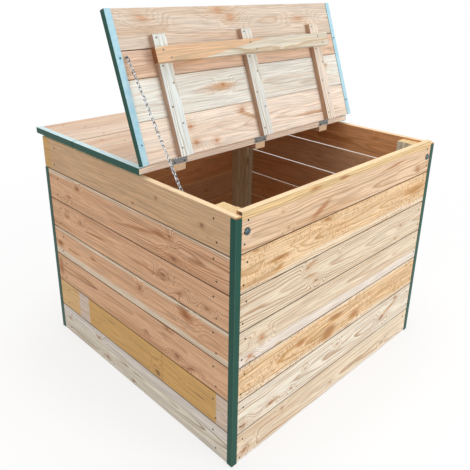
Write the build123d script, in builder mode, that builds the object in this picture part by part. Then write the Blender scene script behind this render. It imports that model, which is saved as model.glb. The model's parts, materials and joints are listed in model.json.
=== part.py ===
from build123d import *
import os
from math import atan2, cos, degrees, radians, sin, sqrt

os.makedirs("parts", exist_ok=True)

# Wooden compost bin: four board walls on corner posts, a fixed rear roof and a front lid.
# Millimetres, X across the front, Y from front to back, Z up from the ground.
# The origin is on the ground under the middle of the whole bin. The lid stands open on its chain.

# Walls
box_width = 1030.0
box_depth = 1010.0
board_thickness = 20.0
board_ease = 1.0
course_count = 7
side_course = 117.0
end_course_extra = 3.0
end_rise = 9.5
seam = 1.5
side_seam = 2.5
seam_fall = 7.6
butt_clearance = 0.2

# Corner posts, one on each panel end, and the bolts that pull two panels together
post_thickness = 44.0
post_width = 48.0
post_drop = 7.5
panel_joint = 0.3
bolt_radius = 4.0
bolt_hole_clearance = 0.5
bolt_head_radius = 11.0
bolt_head_height = 5.0
bolt_from_side = 40.0
bolt_drop = 58.0
bolt_tail = 4.0
washer_radius = 12.0
washer_thickness = 1.6
nut_across_flats = 13.0
nut_height = 6.5
thread_clearance = 0.1

# Steel corner angles
angle_leg = 21.0
angle_sheet = 1.5
angle_bend = 1.2
front_angle_drop = 5.5

# Roof and lid boards
cover_thickness = 18.0
cover_overhang = 5.0
roof_overhang = 26.9
roof_seams = (0.8, 0.8, 3.0, 0.8)
roof_tie_inset = 10.0
lid_widths = (124.0, 122.0, 82.5, 120.5)
lid_overhang = 57.3
lid_seam = 1.3
lid_gap = 3.4
lid_rest_gap = 0.4
lid_open_angle = 110.0

# Battens under the roof and the lid, and the bar across the lid battens
batten_width = 48.0
batten_thickness = 20.0
roof_batten_back_gap = 5.0
lid_batten_tip_gap = 84.0
bar_post_gap = 30.0
bar_overhang = 49.0
bar_left_trim = 8.0
bar_tip_gap = 39.9

# Steel channels over the board ends of roof and lid
channel_sheet = 1.5
channel_bend = 1.2
channel_leg = 22.0
channel_fit = 0.1

# Butt hinges
leaf_width = 60.0
leaf_reach = 19.0
leaf_thickness = 1.5
knuckle_radius = 3.2
knuckle_length = 20.0
knuckle_gap = 0.3
pin_radius = 1.6
pin_clearance = 0.05
pin_head_radius = 2.6
pin_head_length = 1.0
pivot_rise = 4.0
leaf_screw_spacing = 40.0

# Chain, its eye in the lid and its screw in the left wall
chain_wire = 2.5
link_inner_length = 14.0
link_inner_width = 5.0
link_clearance = 0.3
chain_from_wall = 7.0
foot_from_hinge = 161.3
upper_links = 8
middle_links = 13
lower_links = 10
open_pivot_gap = 2.0
eye_from_hinge = 312.0
eye_wire = 3.0
eye_inner_radius = 2.5
eye_shank_radius = 1.75
eye_shank_length = 15.0
foot_screw_radius = 2.0
foot_screw_bite = 16.0
foot_head_radius = 4.5
foot_head_height = 2.5
foot_head_clearance = 0.4

# Nails and small screws
nail_head_radius = 3.0
nail_head_height = 1.2
nail_proud = 0.4
nail_radius = 1.4
wall_nail_length = 50.0
cover_nail_length = 34.0
bar_nail_length = 48.0
nail_drop_upper = 28.0
nail_drop_lower = 93.0
end_nail_upper = 44.0
end_nail_lower = 32.0
side_nail_upper = 83.0
side_nail_lower = 71.0
batten_nail_offset = 12.0
cover_nail_inset = 26.0
tie_nail_spacing = 290.0
screw_head_radius = 2.7
screw_head_clearance = 0.2
screw_flush = 0.1
screw_radius = 1.5
screw_length = 14.0
leg_screw_places = (60.0, 312.0)
leg_screw_inset = 8.0
leg_screw_head_height = 1.4
leg_hole_clearance = 0.2

# Places worked out from the sizes above
half_width = box_width / 2
half_depth = box_depth / 2
inner_half_width = half_width - board_thickness
inner_half_depth = half_depth - board_thickness
side_wall_height = course_count * side_course - seam
end_wall_height = side_wall_height + end_rise
end_course = side_course + end_course_extra
end_bottom_board = end_wall_height - (course_count - 1) * end_course
front_angle_height = side_wall_height - front_angle_drop
back_angle_height = side_wall_height - side_course
post_height = side_wall_height - post_drop
bolt_height = end_wall_height - bolt_drop
cover_length = box_width + 2 * cover_overhang
roof_top = end_wall_height + cover_thickness
roof_board_count = len(roof_seams) + 1
lid_depth = sum(lid_widths) + lid_seam * (len(lid_widths) - 1)
roof_front = lid_depth + lid_gap - half_depth - lid_overhang
roof_back = half_depth + roof_overhang
roof_board_width = (roof_back - roof_front - sum(roof_seams)) / roof_board_count
lid_top = lid_rest_gap - pivot_rise
lid_underside = lid_top - cover_thickness
lid_back = -lid_gap / 2
lid_batten_length = lid_depth - lid_batten_tip_gap
bar_start = lid_batten_length - bar_tip_gap - batten_width
bar_length = 2 * (inner_half_width - post_width - bar_post_gap)
batten_spacing = bar_length / 2 - bar_overhang
batten_places = (-batten_spacing, 0.0, batten_spacing)
front_back = (("front", -1), ("back", 1))
left_right = (("left", -1), ("right", 1))

# Frames: the middle of the box on the ground, the hinge line, and the lid turned open about it.
# The box stands forward or back of the origin by half of what the roof overhangs more than the bolt heads.
# In the lid frame Y runs from the lid tip to the hinge and Z out of its weather side.
box_middle = (bolt_head_height - roof_overhang) / 2
box_plane = Plane((0, box_middle, 0), x_dir=(1, 0, 0), z_dir=(0, 0, 1))
pivot = Vector(0, box_middle + roof_front - lid_gap / 2, roof_top + pivot_rise)
open_turn = radians(lid_open_angle)
hinge_plane = Plane(pivot, x_dir=(1, 0, 0), z_dir=(0, 0, 1))
lid_plane = Plane(pivot, x_dir=(1, 0, 0), z_dir=(0, sin(open_turn), cos(open_turn)))


def save(piece, name):
    """Label a finished piece and write it."""
    piece.part.label = name
    export_step(piece.part, f"parts/{name}.step")


def bolt_place(side, end):
    """Where a corner bolt's head meets the outer face of an end wall."""
    return (side * (half_width - bolt_from_side), end * half_depth, bolt_height)


def seat(origin, outward):
    """A plane at a fastener's head, with Z pointing out of the wood."""
    return Plane(origin, z_dir=outward)


# Side walls, full depth, seven boards each. The seams fall outwards, so that rain runs off.
side_wall_end = Plane((0, box_middle + half_depth, 0), x_dir=(1, 0, 0), z_dir=(0, -1, 0))


def side_board(name, side, course):
    is_bottom = course == course_count - 1
    top = side_wall_height - course * side_course
    bottom = 0 if is_bottom else top - side_course + side_seam
    inner_top = top if course == 0 else top + seam_fall
    inner_bottom = bottom if is_bottom else bottom + seam_fall
    with BuildPart() as board:
        with BuildSketch(side_wall_end):
            Polygon(
                (side * half_width, bottom),
                (side * half_width, top),
                (side * inner_half_width, inner_top),
                (side * inner_half_width, inner_bottom),
                align=None,
            )
        extrude(amount=box_depth)
        chamfer(board.edges().filter_by(Axis.Y), board_ease)
    save(board, name)


for side_name, side in left_right:
    for course in range(course_count):
        side_board(f"{side_name}_board_{course + 1}", side, course)


# Front and back walls, between the side walls, with the bolt holes in the top boards
def end_board(name, end, top, height, bolted):
    with BuildPart(box_plane) as board:
        with Locations((0, end * (half_depth - board_thickness / 2), top - height / 2)):
            Box(2 * (inner_half_width - butt_clearance), board_thickness, height)
        chamfer(board.edges().filter_by(Axis.X), board_ease)
        if bolted:
            with Locations(*[seat(bolt_place(side, end), (0, end, 0)) for side in (-1, 1)]):
                Hole(bolt_radius + bolt_hole_clearance)
    save(board, name)


for end_name, end in front_back:
    for course in range(course_count):
        is_bottom = course == course_count - 1
        end_board(
            f"{end_name}_board_{course + 1}",
            end,
            end_wall_height - course * end_course,
            end_bottom_board if is_bottom else end_course - seam,
            bolted=course == 0,
        )


# Corner posts: one on the end panel and one on the side panel, bolted together along Y
def corner_posts(name, side, end):
    end_post_face = inner_half_depth - post_thickness
    side_post_far = end_post_face - panel_joint
    middle = post_height / 2
    with BuildPart(box_plane) as posts:
        with Locations((side * (inner_half_width - post_width / 2),
                        end * (inner_half_depth - post_thickness / 2), middle)):
            Box(post_width, post_thickness, post_height)
        with Locations((side * (inner_half_width - post_thickness / 2),
                        end * (side_post_far - post_width / 2), middle)):
            Box(post_thickness, post_width, post_height)
        with Locations(seat(bolt_place(side, end), (0, end, 0))):
            Hole(bolt_radius + bolt_hole_clearance)
    save(posts, name)


for end_name, end in front_back:
    for side_name, side in left_right:
        corner_posts(f"corner_posts_{end_name}_{side_name}", side, end)


# Corner bolts with their washers and nuts, behind the side panel's posts
bolt_grip = board_thickness + post_thickness + panel_joint + post_width
bolt_length = bolt_grip + washer_thickness + nut_height + bolt_tail

with BuildPart() as bolt_set:
    Cylinder(bolt_head_radius, bolt_head_height, align=(Align.CENTER, Align.CENTER, Align.MIN))
    fillet(bolt_set.edges().sort_by(Axis.Z)[-1], bolt_head_height * 0.9)
    Cylinder(bolt_radius, bolt_length, align=(Align.CENTER, Align.CENTER, Align.MAX))
    with BuildSketch(Plane.XY.offset(-bolt_grip)):
        Circle(washer_radius)
        Circle(bolt_radius + thread_clearance, mode=Mode.SUBTRACT)
    extrude(amount=-washer_thickness)
    with BuildSketch(Plane.XY.offset(-bolt_grip - washer_thickness - thread_clearance)):
        RegularPolygon(nut_across_flats / 2, 6, major_radius=False)
        Circle(bolt_radius + thread_clearance, mode=Mode.SUBTRACT)
    extrude(amount=-nut_height)

with BuildPart(box_plane) as corner_bolts:
    with Locations(*[seat(bolt_place(side, end), (0, end, 0)) for side in (-1, 1) for end in (-1, 1)]):
        add(bolt_set.part)
save(corner_bolts, "corner_bolts")


# Corner angles: the front pair nearly full height, the back pair up to the first seam
def corner_angles(name, end, height):
    with BuildPart(box_plane) as angles:
        for side in (-1, 1):
            with BuildSketch(box_plane) as profile:
                with Locations((side * (half_width + angle_sheet - angle_leg / 2),
                                end * (half_depth + angle_sheet - angle_leg / 2))):
                    Rectangle(angle_leg, angle_leg)
                with Locations((side * (half_width - angle_leg / 2), end * (half_depth - angle_leg / 2))):
                    Rectangle(angle_leg, angle_leg, mode=Mode.SUBTRACT)
                ridge = profile.vertices().sort_by_distance((side * box_width, end * box_depth))[0]
                fillet(ridge, angle_bend)
            extrude(amount=height)
    save(angles, name)


corner_angles("front_corner_angles", -1, front_angle_height)
corner_angles("back_corner_angles", 1, back_angle_height)


# Wall nails: two at each end of each board, staggered, into the posts
wall_nails_at = []
for course in range(course_count):
    for drop, end_inset, side_inset in (
        (nail_drop_upper, end_nail_upper, side_nail_upper),
        (nail_drop_lower, end_nail_lower, side_nail_lower),
    ):
        end_z = end_wall_height - course * end_course - drop
        side_z = side_wall_height - course * side_course - drop
        for near in (-1, 1):
            for far in (-1, 1):
                end_y = far * (half_depth + nail_proud)
                side_x = far * (half_width + nail_proud)
                wall_nails_at.append(seat((near * (half_width - end_inset), end_y, end_z), (0, far, 0)))
                wall_nails_at.append(seat((side_x, near * (half_depth - side_inset), side_z), (far, 0, 0)))


def nails(name, plane, groups):
    """Nails driven from their heads; each group has its own length."""
    with BuildPart(plane) as driven:
        for places, length in groups:
            with Locations(*places):
                Cylinder(nail_head_radius, nail_head_height, align=(Align.CENTER, Align.CENTER, Align.MAX))
                Cylinder(nail_radius, length, align=(Align.CENTER, Align.CENTER, Align.MAX))
    save(driven, name)


nails("wall_nails", box_plane, [(wall_nails_at, wall_nail_length)])

# Roof boards from the hinge line to the back, on the back wall's top edge
roof_board_fronts = []
board_front = roof_front
for index in range(roof_board_count):
    roof_board_fronts.append(board_front)
    board_front += roof_board_width + (roof_seams[index] if index < len(roof_seams) else 0)


def cover_board(name, plane, front, width, bottom):
    with BuildPart(plane) as board:
        with Locations((0, front + width / 2, bottom + cover_thickness / 2)):
            Box(cover_length, width, cover_thickness)
        chamfer(board.edges().filter_by(Axis.X), board_ease)
    save(board, name)


for index, front in enumerate(roof_board_fronts):
    cover_board(f"roof_board_{index + 1}", box_plane, front, roof_board_width, end_wall_height)

# Lid boards from the hinge to the tip
lid_board_backs = []
board_back = lid_back
for index, width in enumerate(lid_widths):
    lid_board_backs.append(board_back)
    cover_board(f"lid_board_{index + 1}", lid_plane, board_back - width, width, lid_underside)
    board_back -= width + lid_seam


# Battens across the boards: three under the roof, three under the lid
def battens(name, plane, front, length, top):
    with BuildPart(plane) as strips:
        with Locations(*[(x, front + length / 2, top - batten_thickness / 2) for x in batten_places]):
            Box(batten_width, length, batten_thickness)
    save(strips, name)


roof_batten_length = inner_half_depth - roof_batten_back_gap - roof_front
battens("roof_battens", box_plane, roof_front, roof_batten_length, end_wall_height)
battens("lid_battens", lid_plane, lid_back - lid_batten_length, lid_batten_length, lid_underside)

with BuildPart(lid_plane) as lid_bar:
    bar_y = lid_back - bar_start - batten_width / 2
    with Locations((bar_left_trim / 2, bar_y, lid_underside - 1.5 * batten_thickness)):
        Box(bar_length - bar_left_trim, batten_width, batten_thickness)
    chamfer(lid_bar.edges().filter_by(Axis.X), board_ease)
save(lid_bar, "lid_cross_bar")

# Channels folded over the board ends
channel_outer = cover_length / 2 + channel_fit + channel_sheet
channel_height = cover_thickness + 2 * (channel_fit + channel_sheet)


def channel_run(side, back, length, bottom):
    """One length of channel in the current part, open towards the boards."""
    across = side * (channel_outer - channel_leg / 2)
    with Locations((across, back - length / 2, bottom + cover_thickness / 2)):
        Box(channel_leg, length, channel_height)
    with Locations((across - side * channel_sheet, back - length / 2, bottom + cover_thickness / 2)):
        Box(channel_leg, length, cover_thickness + 2 * channel_fit, mode=Mode.SUBTRACT)


def folded_edges(channels, plane):
    """The two long edges where each channel's sheet is folded."""
    long_edges = channels.edges().filter_by(Axis(plane.origin, plane.y_dir))
    return long_edges.filter_by(lambda edge: abs(abs(edge.center().X) - channel_outer) < channel_fit)


# The roof channels are cut at the wide seam
cut_board = roof_seams.index(max(roof_seams)) + 1
cut_front = roof_board_fronts[cut_board] - roof_seams[cut_board - 1]
with BuildPart(box_plane) as roof_channels:
    for side in (-1, 1):
        channel_run(side, cut_front, cut_front - roof_front, end_wall_height)
        channel_run(side, roof_back, roof_back - roof_board_fronts[cut_board], end_wall_height)
    fillet(folded_edges(roof_channels, box_plane), channel_bend)
save(roof_channels, "roof_channels")

leg_screw_x = channel_outer - channel_leg + leg_screw_inset
leg_screws_at = []
for side in (-1, 1):
    for place in leg_screw_places:
        leg_screws_at.append((side * leg_screw_x, lid_back - place))

with BuildPart(lid_plane) as lid_channels:
    for side in (-1, 1):
        channel_run(side, lid_back, lid_depth, lid_underside)
    fillet(folded_edges(lid_channels, lid_plane), channel_bend)
    with Locations(*[(x, y, lid_underside - channel_fit - channel_sheet / 2) for x, y in leg_screws_at]):
        Cylinder(screw_radius + leg_hole_clearance, 2 * channel_sheet, mode=Mode.SUBTRACT)
save(lid_channels, "lid_channels")


# Hinge leaves: a plate on the board edge with its knuckles rolled round the pin
def hinge_leaves(name, plane, edge, knuckles):
    """Edge is +1 for the roof's front edge and -1 for the lid's back edge."""
    plate_y = edge * (lid_gap / 2 - leaf_thickness / 2)
    plate_top = -(knuckle_radius + knuckle_gap)
    screw_z = lid_top - cover_thickness / 2
    with BuildPart(plane) as leaves:
        for x in batten_places:
            with Locations((x, plate_y, (plate_top - leaf_reach) / 2)):
                Box(leaf_width, leaf_thickness, leaf_reach + plate_top)
            for middle, length in knuckles:
                with Locations((x + middle, plate_y, plate_top / 2)):
                    Box(length, leaf_thickness, -plate_top)
                with Locations((x + middle, 0, 0)):
                    Cylinder(knuckle_radius, length, rotation=(0, 90, 0))
            with Locations((x, 0, 0)):
                Cylinder(
                    pin_radius + pin_clearance,
                    leaf_width + pin_head_length,
                    rotation=(0, 90, 0),
                    mode=Mode.SUBTRACT,
                )
            for shift in (-leaf_screw_spacing / 2, leaf_screw_spacing / 2):
                with Locations((x + shift, plate_y, screw_z)):
                    Cylinder(
                        screw_head_radius + screw_head_clearance,
                        2 * leaf_thickness,
                        rotation=(90, 0, 0),
                        mode=Mode.SUBTRACT,
                    )
    save(leaves, name)


outer_knuckle = (leaf_width - knuckle_length) / 2
middle_knuckle_length = leaf_width - 2 * knuckle_length - 2 * knuckle_gap
hinge_leaves(
    "hinge_roof_leaves",
    hinge_plane,
    1,
    ((-outer_knuckle, knuckle_length), (outer_knuckle, knuckle_length)),
)
hinge_leaves("hinge_lid_leaves", lid_plane, -1, ((0, middle_knuckle_length),))

pin_head_middle = leaf_width / 2 + knuckle_gap + pin_head_length / 2
with BuildPart(hinge_plane) as hinge_pins:
    for x in batten_places:
        with Locations((x, 0, 0)):
            Cylinder(pin_radius, leaf_width + 2 * (knuckle_gap + pin_head_length), rotation=(0, 90, 0))
        with Locations((x - pin_head_middle, 0, 0), (x + pin_head_middle, 0, 0)):
            Cylinder(pin_head_radius, pin_head_length, rotation=(0, 90, 0))
save(hinge_pins, "hinge_pins")


# Roof nails: every board to every batten, and the last board to the back wall
roof_nail_z = roof_top + nail_proud
roof_nails_at = []
for front in roof_board_fronts:
    for x in batten_places:
        for y, turn in ((front + cover_nail_inset, -1), (front + roof_board_width - cover_nail_inset, 1)):
            if y < roof_front + roof_batten_length - cover_nail_inset:
                roof_nails_at.append(seat((x + turn * batten_nail_offset, y, roof_nail_z), (0, 0, 1)))
for step in (-1.5, -0.5, 0.5, 1.5):
    roof_nails_at.append(
        seat((step * tie_nail_spacing, half_depth - roof_tie_inset, roof_nail_z), (0, 0, 1))
    )
nails("roof_nails", box_plane, [(roof_nails_at, cover_nail_length)])

# Lid nails: through the battens into the boards, and through the bar into the battens
lid_out = lid_plane.z_dir
batten_face = lid_underside - batten_thickness - nail_proud
bar_face = batten_face - batten_thickness


def lid_seat(x, y, z):
    """A nail head on the lid's inner side, driven outwards."""
    return Plane(lid_plane.from_local_coords((x, y, z)), x_dir=(1, 0, 0), z_dir=-lid_out)


batten_nails_at = []
for back, width in zip(lid_board_backs, lid_widths):
    for x in batten_places:
        for y, turn in ((back - cover_nail_inset, -1), (back - width + cover_nail_inset, 1)):
            under_bar = lid_back - bar_start > y > lid_back - bar_start - batten_width
            if y > lid_back - lid_batten_length + nail_head_radius and not under_bar:
                batten_nails_at.append(lid_seat(x + turn * batten_nail_offset, y, batten_face))
bar_middle = lid_back - bar_start - batten_width / 2
bar_nails_at = []
for x in batten_places:
    for turn in (-1, 1):
        bar_nails_at.append(
            lid_seat(x + turn * batten_nail_offset, bar_middle + turn * batten_nail_offset, bar_face)
        )
nails("lid_nails", Plane.XY, [(batten_nails_at, cover_nail_length), (bar_nails_at, bar_nail_length)])

# Chain: alternate links stand in the plane of the swing and across it
link_radius = (link_inner_width + chain_wire) / 2
link_straight = link_inner_length - link_inner_width
link_step = link_inner_length - link_clearance
link_reach = link_inner_length / 2 + chain_wire

with BuildPart() as link:
    with BuildLine() as link_path:
        near_side = Line((-link_straight / 2, -link_radius), (link_straight / 2, -link_radius))
        right_bow = CenterArc((link_straight / 2, 0), link_radius, -90, 180)
        far_side = Line(right_bow @ 1, (-link_straight / 2, link_radius))
        CenterArc((-link_straight / 2, 0), link_radius, 90, 180)
    with BuildSketch(Plane(near_side @ 0, z_dir=near_side % 0)):
        Circle(chain_wire / 2)
    sweep(path=link_path.wires()[0])

chain_x = chain_from_wall - inner_half_width
eye_radius = eye_inner_radius + eye_wire / 2
eye_centre = lid_underside - eye_inner_radius - eye_wire
eye_y = lid_back - eye_from_hinge
chain_head = lid_plane.from_local_coords((chain_x, eye_y, eye_centre - eye_radius))
head_step = link_inner_length / 2 - eye_wire / 2 - link_clearance
foot_step = link_inner_length / 2 - foot_screw_radius - link_clearance
hung_length = head_step + (upper_links + middle_links - 1) * link_step + link_reach
foot_length = foot_step + (lower_links - 1) * link_step + link_reach
chain_length = hung_length + open_pivot_gap + foot_length
chain_foot_y = pivot.Y - foot_from_hinge
chain_foot_z = chain_head.Z - sqrt(chain_length**2 - (chain_head.Y - chain_foot_y) ** 2)
chain_foot = Vector(chain_x, chain_foot_y, chain_foot_z)
chain_turn = atan2(chain_foot.Z - chain_head.Z, chain_foot.Y - chain_head.Y)
chain_down = Vector(0, cos(chain_turn), sin(chain_turn))
chain_side = Vector(0, -sin(chain_turn), cos(chain_turn))


def chain_links(name, start, along, first_step, first_link, count):
    """A run of links; even links stand in the plane of the swing, odd ones across it."""
    places = []
    for index in range(first_link, first_link + count):
        centre = start + along * (first_step + index * link_step)
        places.append(Plane(centre, x_dir=along, z_dir=chain_side if index % 2 else (1, 0, 0)))
    with BuildPart() as run:
        with Locations(*places):
            add(link.part)
    save(run, name)


chain_links("chain_upper", chain_head, chain_down, head_step, 0, upper_links)
chain_links("chain_middle", chain_head, chain_down, head_step, upper_links, middle_links)
chain_links("chain_lower", chain_foot, -chain_down, foot_step, 0, lower_links)

# Screws of the roof: the hinge leaves' screws and the chain's foot screw in the left wall
screw_z = lid_top - cover_thickness / 2


def leaf_screws(plane, edge):
    """Flush screws through a leaf into the board edge behind it, in the current part."""
    face = edge * (lid_gap / 2 - leaf_thickness + screw_flush)
    places = []
    for x in batten_places:
        for shift in (-leaf_screw_spacing / 2, leaf_screw_spacing / 2):
            origin = plane.from_local_coords((x + shift, face, screw_z))
            places.append(seat(origin, plane.y_dir * -edge))
    with Locations(*places):
        Cylinder(
            screw_head_radius,
            leaf_thickness - screw_flush,
            align=(Align.CENTER, Align.CENTER, Align.MAX),
        )
        Cylinder(screw_radius, screw_length, align=(Align.CENTER, Align.CENTER, Align.MAX))


foot_head = chain_x + chain_wire / 2 + foot_head_clearance
foot_shank = foot_head + inner_half_width + foot_screw_bite
with BuildPart() as frame_screws:
    leaf_screws(hinge_plane, 1)
    with Locations(seat((foot_head, chain_foot.Y, chain_foot.Z), (1, 0, 0))):
        Cylinder(foot_screw_radius, foot_shank, align=(Align.CENTER, Align.CENTER, Align.MAX))
        Cylinder(foot_head_radius, foot_head_height, align=(Align.CENTER, Align.CENTER, Align.MIN))
save(frame_screws, "frame_screws")

# Screws of the lid: hinge leaves, channel legs and the chain's eye
leg_face = lid_underside - channel_fit - channel_sheet
with BuildPart() as lid_screws:
    leaf_screws(lid_plane, -1)
    with Locations(*[lid_seat(x, y, leg_face) for x, y in leg_screws_at]):
        Cylinder(
            screw_head_radius,
            leg_screw_head_height,
            align=(Align.CENTER, Align.CENTER, Align.MIN),
        )
        Cylinder(screw_radius, screw_length, align=(Align.CENTER, Align.CENTER, Align.MAX))
    with Locations(lid_seat(chain_x, eye_y, lid_underside)):
        Cylinder(
            eye_shank_radius,
            eye_shank_length,
            align=(Align.CENTER, Align.CENTER, Align.MAX),
        )
        with Locations((0, 0, eye_inner_radius + eye_wire)):
            Torus(eye_radius, eye_wire / 2, rotation=(90, 0, 0))
save(lid_screws, "lid_screws")

print(f"walls {side_wall_height:.1f} and {end_wall_height:.1f} high")
print(f"roof from {roof_front:.1f} to {roof_back:.1f}, box middle at {box_middle:.2f}")
print(f"pivot {pivot.Y:.2f} {pivot.Z:.2f}, lid depth {lid_depth:.1f}")
print(f"chain {chain_length:.1f} long, head {chain_head.Y:.2f} {chain_head.Z:.2f}")
print(f"chain foot {chain_foot.Y:.2f} {chain_foot.Z:.2f}, turn {degrees(chain_turn):.3f}")
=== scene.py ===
# %% [markdown]
# A wooden compost bin with its lid propped open on a chain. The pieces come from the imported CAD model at
# their real size and place, so nothing is moved here. This lesson gives every piece its finish and sets
# up a plain studio, with the camera at the photograph's viewpoint.

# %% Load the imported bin
import json
import math

import bpy
from mathutils import Matrix, Vector


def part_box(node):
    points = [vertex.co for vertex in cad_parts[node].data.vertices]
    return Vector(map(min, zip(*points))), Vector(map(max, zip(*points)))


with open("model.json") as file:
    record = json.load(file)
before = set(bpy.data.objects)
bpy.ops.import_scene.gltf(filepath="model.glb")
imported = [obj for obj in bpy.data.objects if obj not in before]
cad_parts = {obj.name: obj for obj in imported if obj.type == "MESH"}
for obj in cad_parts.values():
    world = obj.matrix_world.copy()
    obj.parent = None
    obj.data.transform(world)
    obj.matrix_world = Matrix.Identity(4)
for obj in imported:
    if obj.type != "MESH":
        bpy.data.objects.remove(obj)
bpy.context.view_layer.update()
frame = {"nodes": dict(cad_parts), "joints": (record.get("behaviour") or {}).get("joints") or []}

MM = 0.001
nodes = frame["nodes"]

# %% [markdown]
# The camera looks at the near left corner from half a metre above the open mouth, about twenty degrees
# down. The photograph was cropped off centre, so the lens is shifted by as much. The focal length and the
# view's centre are in pixels of the photograph, and the place is in metres.

# %% Camera
PHOTO_SIDE = 470
FOCAL_PIXELS = 552.4
VIEW_CENTRE = (239.0, 194.4)
CAMERA_PLACE = (-1.4002, -1.3965, 1.3685)
CAMERA_TURN = (68.644, -1.094, -44.976)
SENSOR = 36

scene = bpy.context.scene
camera = bpy.data.objects.new("camera", bpy.data.cameras.new("camera"))
scene.collection.objects.link(camera)
camera.location = CAMERA_PLACE
camera.rotation_euler = [math.radians(turn) for turn in CAMERA_TURN]
camera.data.sensor_width = SENSOR
camera.data.lens = FOCAL_PIXELS / PHOTO_SIDE * SENSOR
camera.data.shift_x = (PHOTO_SIDE / 2 - VIEW_CENTRE[0]) / PHOTO_SIDE
camera.data.shift_y = (VIEW_CENTRE[1] - PHOTO_SIDE / 2) / PHOTO_SIDE
scene.camera = camera
print("lens", round(camera.data.lens, 2), "mm")

# %% [markdown]
# Two helpers carry the rest. Colours are chosen as sRGB hex values, as on a paint card, but shaders work
# in linear light, so one function converts them. The other adds one shader node, sets its options and
# fills its inputs by name or in their order: a socket is linked, anything else becomes the input's own
# value.

# %% Colour and node helpers
def linear(hex_colour):
    """An sRGB hex colour as the linear RGBA that shader inputs take."""
    channels = [int(hex_colour[i:i + 2], 16) / 255 for i in (1, 3, 5)]
    return tuple(c / 12.92 if c < 0.04045 else ((c + 0.055) / 1.055) ** 2.4 for c in channels) + (1.0,)


def add(tree, kind, inputs=(), out=0, **settings):
    """Add a shader node with its options, link or fill its inputs, and return one of its outputs."""
    node = tree.nodes.new("ShaderNode" + kind)
    for name, value in settings.items():
        setattr(node, name, value)
    for name, value in inputs.items() if isinstance(inputs, dict) else enumerate(inputs):
        if isinstance(value, bpy.types.NodeSocket):
            tree.links.new(value, node.inputs[name])
        else:
            node.inputs[name].default_value = value
    return node.outputs[out] if node.outputs else node


def new_material(name):
    """An empty node material and its tree."""
    material = bpy.data.materials.new(name)
    material.use_nodes = True
    material.node_tree.nodes.clear()
    return material, material.node_tree


# %% [markdown]
# The studio is a pale floor, an even white room and three broad soft lamps. What is seen of the room,
# straight or in a shiny surface, is plain white, while the wood is lit by a calmer grey. The floor glows
# a little where it is seen and more the farther away it is, so that it reads as white, keeps the shadow
# and ends without a horizon. A backdrop that curves up would be the other way, but it would show in views
# from behind.

# %% Floor
FLOOR_SIZE = 40.0
FLOOR_COLOUR = "#D2D0CC"
WHITE = (1, 1, 1, 1)
GLOW_FROM, GLOW_TO = 0.8, 2.5
NEAR_GLOW, FAR_GLOW = 0.7, 1.0

scene.view_settings.view_transform = "Standard"


def seen_ray(tree):
    """1 for what the camera, a reflection or a look through glass sees, and 0 for light on its way."""
    rays = add(tree, "LightPath").node.outputs
    seen = rays["Is Camera Ray"]
    for kind in ("Is Glossy Ray", "Is Transmission Ray"):
        seen = add(tree, "Math", (seen, rays[kind]), operation="MAXIMUM")
    return seen


bpy.ops.object.select_all(action="DESELECT")
bpy.ops.mesh.primitive_plane_add(size=FLOOR_SIZE, location=(0, 0, 0))
floor = bpy.context.active_object
floor.name = "studio_floor"
paper, tree = new_material("pale_studio_paper")
seen = seen_ray(tree)
tone = add(tree, "Mix", {0: seen, 6: linear(FLOOR_COLOUR), 7: WHITE}, 2, data_type="RGBA")
matt = add(tree, "BsdfDiffuse", {"Color": tone})
glow = add(tree, "Emission", {"Color": WHITE, "Strength": 1.0})
away = add(tree, "VectorMath", (add(tree, "TexCoord", out="Object"),), "Value", operation="LENGTH")
share = add(tree, "MapRange", (away, GLOW_FROM, GLOW_TO, NEAR_GLOW, FAR_GLOW))
share = add(tree, "Math", (seen, share), operation="MULTIPLY")
add(tree, "OutputMaterial", {"Surface": add(tree, "MixShader", (share, matt, glow))})
floor.data.materials.append(paper)
print("floor", FLOOR_SIZE, "m wide")

# %% Room
ROOM_LIGHT = 0.56

world = bpy.data.worlds.new("white_room")
scene.world = world
world.use_nodes = True
tree = world.node_tree
tree.nodes.clear()
lit = add(tree, "Background", {"Color": WHITE, "Strength": ROOM_LIGHT})
white = add(tree, "Background", {"Color": WHITE, "Strength": 1.0})
add(tree, "OutputWorld", {"Surface": add(tree, "MixShader", (seen_ray(tree), lit, white))})
print("room light", ROOM_LIGHT)

# %% [markdown]
# One lamp hangs overhead and makes the roof and the top edges the palest wood. One stands low in front,
# which is why the front wall is brighter than the left wall, and a weak one fills the left wall. They are
# wide soft boxes, because a small lamp would draw hard shadows that the photograph doesn't have.

# %% Lamps
# The top edges are paler still from a painted highlight on the top boards, set with the wall boards.
LAMPS = {
    "overhead_lamp": dict(place=(0.2, 0.2, 5.0), target=(0, 0, 0.8), size=3.0, watts=98, colour="#FFFFFF"),
    "front_lamp": dict(place=(1.4, -5.2, 1.5), target=(0, -0.3, 0.5), size=2.6, watts=112, colour="#FFFDF9"),
    "left_lamp": dict(place=(-5.0, -0.4, 1.6), target=(-0.5, 0, 0.5), size=2.4, watts=24, colour="#FFFFFF"),
}


def soft_lamp(name, place, target, size, watts, colour):
    """A square soft box turned to a point."""
    lamp = bpy.data.objects.new(name, bpy.data.lights.new(name, "AREA"))
    scene.collection.objects.link(lamp)
    lamp.location = place
    lamp.rotation_euler = (Vector(target) - Vector(place)).to_track_quat("-Z", "Y").to_euler()
    lamp.data.shape = "SQUARE"
    lamp.data.size = size
    lamp.data.energy = watts
    lamp.data.color = linear(colour)[:3]


for name, setting in LAMPS.items():
    soft_lamp(name, **setting)
print("lamps:", len(LAMPS))

# %% [markdown]
# Softwood boards are slices of a trunk. The rings are shells round the pith, so one recipe, the distance
# from a pith line that runs slightly askew, gives long flames on the face and arcs on the end. A painted
# picture on each board would be the other way, but it would show from one side only. The first helpers
# give a board its own axes and find the distance to its nearest knot.

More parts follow.
